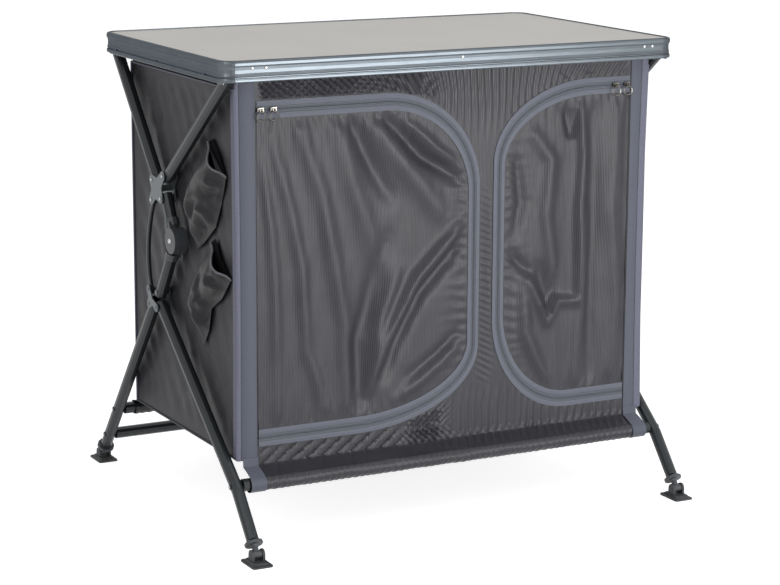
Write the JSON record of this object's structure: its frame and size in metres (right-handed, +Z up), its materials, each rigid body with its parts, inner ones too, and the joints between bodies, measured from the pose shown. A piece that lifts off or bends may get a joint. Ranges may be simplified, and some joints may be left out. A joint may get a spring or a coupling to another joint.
{
  "type": "camping cupboard",
  "caption": "Folding camping cupboard: laminate worktop on tube side frames with a zipped fabric cupboard below.",
  "frame": {"origin": "on the floor, midway between the feet", "axes": "+X along the worktop to the right as seen from the front, +Y to the rear, +Z up"},
  "size_m": [0.9, 0.7742, 0.847],
  "materials": {
    "laminate": "pale grey laminate",
    "rim_aluminium": "anthracite anodised",
    "tube_paint": "anthracite satin",
    "plate_paint": "anthracite satin",
    "black_plastic": "moulded",
    "pad_rubber": "moulded",
    "nickel": "nickel plated",
    "ribbed_cloth": "ribbed woven polyester",
    "side_mesh": "dark mesh",
    "board_cover": "covered board"
  },
  "bodies": {
    "top": {"top_panel": "laminate", "top_rim": "rim_aluminium", "front_panel": "ribbed_cloth", "back_panel": "side_mesh", "shelf_board": "board_cover", "upper_side_pocket": "side_mesh", "lower_side_pocket": "side_mesh", "left_leg_rail": "plate_paint", "left_rear_upper_leg": "tube_paint", "left_front_upper_leg": "tube_paint", "left_upper_hub": "plate_paint", "left_side_panel": "side_mesh", "right_leg_rail": "plate_paint", "right_rear_upper_leg": "tube_paint", "right_front_upper_leg": "tube_paint", "right_upper_hub": "plate_paint", "right_side_panel": "side_mesh"},
    "upper_struts": {"left_upper_strut": "tube_paint", "left_elbow_outer": "black_plastic", "right_upper_strut": "tube_paint", "right_elbow_outer": "black_plastic"},
    "lower_struts": {"left_lower_strut": "tube_paint", "left_elbow_inner": "black_plastic", "right_lower_strut": "tube_paint", "right_elbow_inner": "black_plastic"},
    "lower_hubs": {"left_lower_hub": "plate_paint", "right_lower_hub": "plate_paint"},
    "rear_legs": {"left_rear_leg": "tube_paint", "right_rear_leg": "tube_paint", "rear_bottom_tube": "tube_paint", "rear_stretcher": "tube_paint", "rear_sleeve": "ribbed_cloth"},
    "front_legs": {"left_front_leg": "tube_paint", "right_front_leg": "tube_paint", "front_bottom_tube": "tube_paint", "front_sleeve": "ribbed_cloth"},
    "rods": {"left_rod": "tube_paint", "right_rod": "tube_paint"},
    "floor_board": {"floor_board": "board_cover"},
    "left_front_screw": {"left_front_foot_screw": "black_plastic"},
    "left_front_pad": {"left_front_foot_pad": "pad_rubber"},
    "left_rear_screw": {"left_rear_foot_screw": "black_plastic"},
    "left_rear_pad": {"left_rear_foot_pad": "pad_rubber"},
    "right_front_screw": {"right_front_foot_screw": "black_plastic"},
    "right_front_pad": {"right_front_foot_pad": "pad_rubber"},
    "right_rear_screw": {"right_rear_foot_screw": "black_plastic"},
    "right_rear_pad": {"right_rear_foot_pad": "pad_rubber"},
    "left_door": {"left_door": "ribbed_cloth"},
    "left_door_outer_slider": {"left_door_outer_slider": "nickel"},
    "left_door_outer_pull": {"left_door_outer_pull": "nickel"},
    "left_door_inner_slider": {"left_door_inner_slider": "nickel"},
    "left_door_inner_pull": {"left_door_inner_pull": "nickel"},
    "right_door": {"right_door": "ribbed_cloth"},
    "right_door_outer_slider": {"right_door_outer_slider": "nickel"},
    "right_door_outer_pull": {"right_door_outer_pull": "nickel"},
    "right_door_inner_slider": {"right_door_inner_slider": "nickel"},
    "right_door_inner_pull": {"right_door_inner_pull": "nickel"}
  },
  "joints": [
    {"name": "frame_fold", "type": "hinge", "parent": "top", "child": "upper_struts", "pos_m": [0, 0.01528, 0.571], "axis": [1, 0, 0], "range_deg": [0, 47], "deforming": ["front_panel", "back_panel", "left_side_panel", "right_side_panel", "left_door", "right_door", "upper_side_pocket", "lower_side_pocket", "front_sleeve", "rear_sleeve"]},
    {"name": "elbow_bend", "type": "hinge", "parent": "upper_struts", "child": "lower_struts", "pos_m": [0, -0.02371, 0.501], "axis": [1, 0, 0], "range_deg": [0, 3.71]},
    {"name": "lower_hub_turn", "type": "hinge", "parent": "lower_struts", "child": "lower_hubs", "pos_m": [0, 0.04628, 0.395], "axis": [1, 0, 0], "range_deg": [-81.51, 0]},
    {"name": "rear_leg_fold", "type": "hinge", "parent": "lower_hubs", "child": "rear_legs", "pos_m": [0, 0.07729, 0.368], "axis": [1, 0, 0], "range_deg": [-82.19, 0]},
    {"name": "front_leg_fold", "type": "hinge", "parent": "lower_hubs", "child": "front_legs", "pos_m": [0, 0.04428, 0.367], "axis": [1, 0, 0], "range_deg": [0, 3.56]},
    {"name": "rod_swing", "type": "hinge", "parent": "top", "child": "rods", "pos_m": [0, 0.05828, 0.563], "axis": [1, 0, 0], "range_deg": [0, 48.37]},
    {"name": "floor_board_rise", "type": "slide", "parent": "top", "child": "floor_board", "axis": [0, 0, 1], "range_m": [0, 0.2562]},
    {"name": "left_front_levelling", "type": "slide", "parent": "front_legs", "child": "left_front_screw", "axis": [0, -0.6419, -0.7668], "range_m": [0, 0.012]},
    {"name": "left_front_pad_tilt", "type": "hinge", "parent": "left_front_screw", "child": "left_front_pad", "pos_m": [-0.4286, -0.35913, 0.01741], "axis": [1, 0, 0], "range_deg": [-20, 20]},
    {"name": "left_rear_levelling", "type": "slide", "parent": "rear_legs", "child": "left_rear_screw", "axis": [0, 0.624, -0.7814], "range_m": [0, 0.012]},
    {"name": "left_rear_pad_tilt", "type": "hinge", "parent": "left_rear_screw", "child": "left_rear_pad", "pos_m": [-0.4286, 0.35913, 0.01503], "axis": [1, 0, 0], "range_deg": [-20, 20]},
    {"name": "right_front_levelling", "type": "slide", "parent": "front_legs", "child": "right_front_screw", "axis": [0, -0.6419, -0.7668], "range_m": [0, 0.012]},
    {"name": "right_front_pad_tilt", "type": "hinge", "parent": "right_front_screw", "child": "right_front_pad", "pos_m": [0.4286, -0.35913, 0.01741], "axis": [1, 0, 0], "range_deg": [-20, 20]},
    {"name": "right_rear_levelling", "type": "slide", "parent": "rear_legs", "child": "right_rear_screw", "axis": [0, 0.624, -0.7814], "range_m": [0, 0.012]},
    {"name": "right_rear_pad_tilt", "type": "hinge", "parent": "right_rear_screw", "child": "right_rear_pad", "pos_m": [0.4286, 0.35913, 0.01503], "axis": [1, 0, 0], "range_deg": [-20, 20]},
    {"name": "left_door_swing", "type": "hinge", "parent": "top", "child": "left_door", "pos_m": [-0.3745, -0.24871, 0.45], "axis": [0, 0, 1], "range_deg": [-110, 0]},
    {"name": "left_door_outer_zip", "type": "slide", "parent": "left_door", "child": "left_door_outer_slider", "axis": [1, 0, 0], "range_m": [0, 0.0046]},
    {"name": "left_door_outer_pull_swing", "type": "hinge", "parent": "left_door_outer_slider", "child": "left_door_outer_pull", "pos_m": [-0.368, -0.25821, 0.7585], "axis": [1, 0, 0], "range_deg": [-120, 0]},
    {"name": "left_door_inner_zip", "type": "slide", "parent": "left_door", "child": "left_door_inner_slider", "axis": [1, 0, 0], "range_m": [0, 0.2122]},
    {"name": "left_door_inner_pull_swing", "type": "hinge", "parent": "left_door_inner_slider", "child": "left_door_inner_pull", "pos_m": [-0.344, -0.25821, 0.7585], "axis": [1, 0, 0], "range_deg": [-120, 0]},
    {"name": "right_door_swing", "type": "hinge", "parent": "top", "child": "right_door", "pos_m": [0.3745, -0.24871, 0.45], "axis": [0, 0, 1], "range_deg": [0, 110]},
    {"name": "right_door_outer_zip", "type": "slide", "parent": "right_door", "child": "right_door_outer_slider", "axis": [-1, 0, 0], "range_m": [0, 0.005]},
    {"name": "right_door_outer_pull_swing", "type": "hinge", "parent": "right_door_outer_slider", "child": "right_door_outer_pull", "pos_m": [0.3655, -0.25821, 0.763], "axis": [1, 0, 0], "range_deg": [-120, 0]},
    {"name": "right_door_inner_zip", "type": "slide", "parent": "right_door", "child": "right_door_inner_slider", "axis": [-1, 0, 0], "range_m": [0, 0.0413]},
    {"name": "right_door_inner_pull_swing", "type": "hinge", "parent": "right_door_inner_slider", "child": "right_door_inner_pull", "pos_m": [0.3411, -0.25821, 0.763], "axis": [1, 0, 0], "range_deg": [-120, 0]}
  ],
  "couplings": [
    {"joint": "elbow_bend", "follows": "frame_fold", "ratio": 0.077},
    {"joint": "lower_hub_turn", "follows": "frame_fold", "ratio": -1.692},
    {"joint": "rear_leg_fold", "follows": "frame_fold", "ratio": -1.706},
    {"joint": "front_leg_fold", "follows": "frame_fold", "ratio": 0.074},
    {"joint": "rod_swing", "follows": "frame_fold", "ratio": 1.004},
    {"joint": "floor_board_rise", "follows": "frame_fold", "m_per_rad": 0.3045}
  ]
}
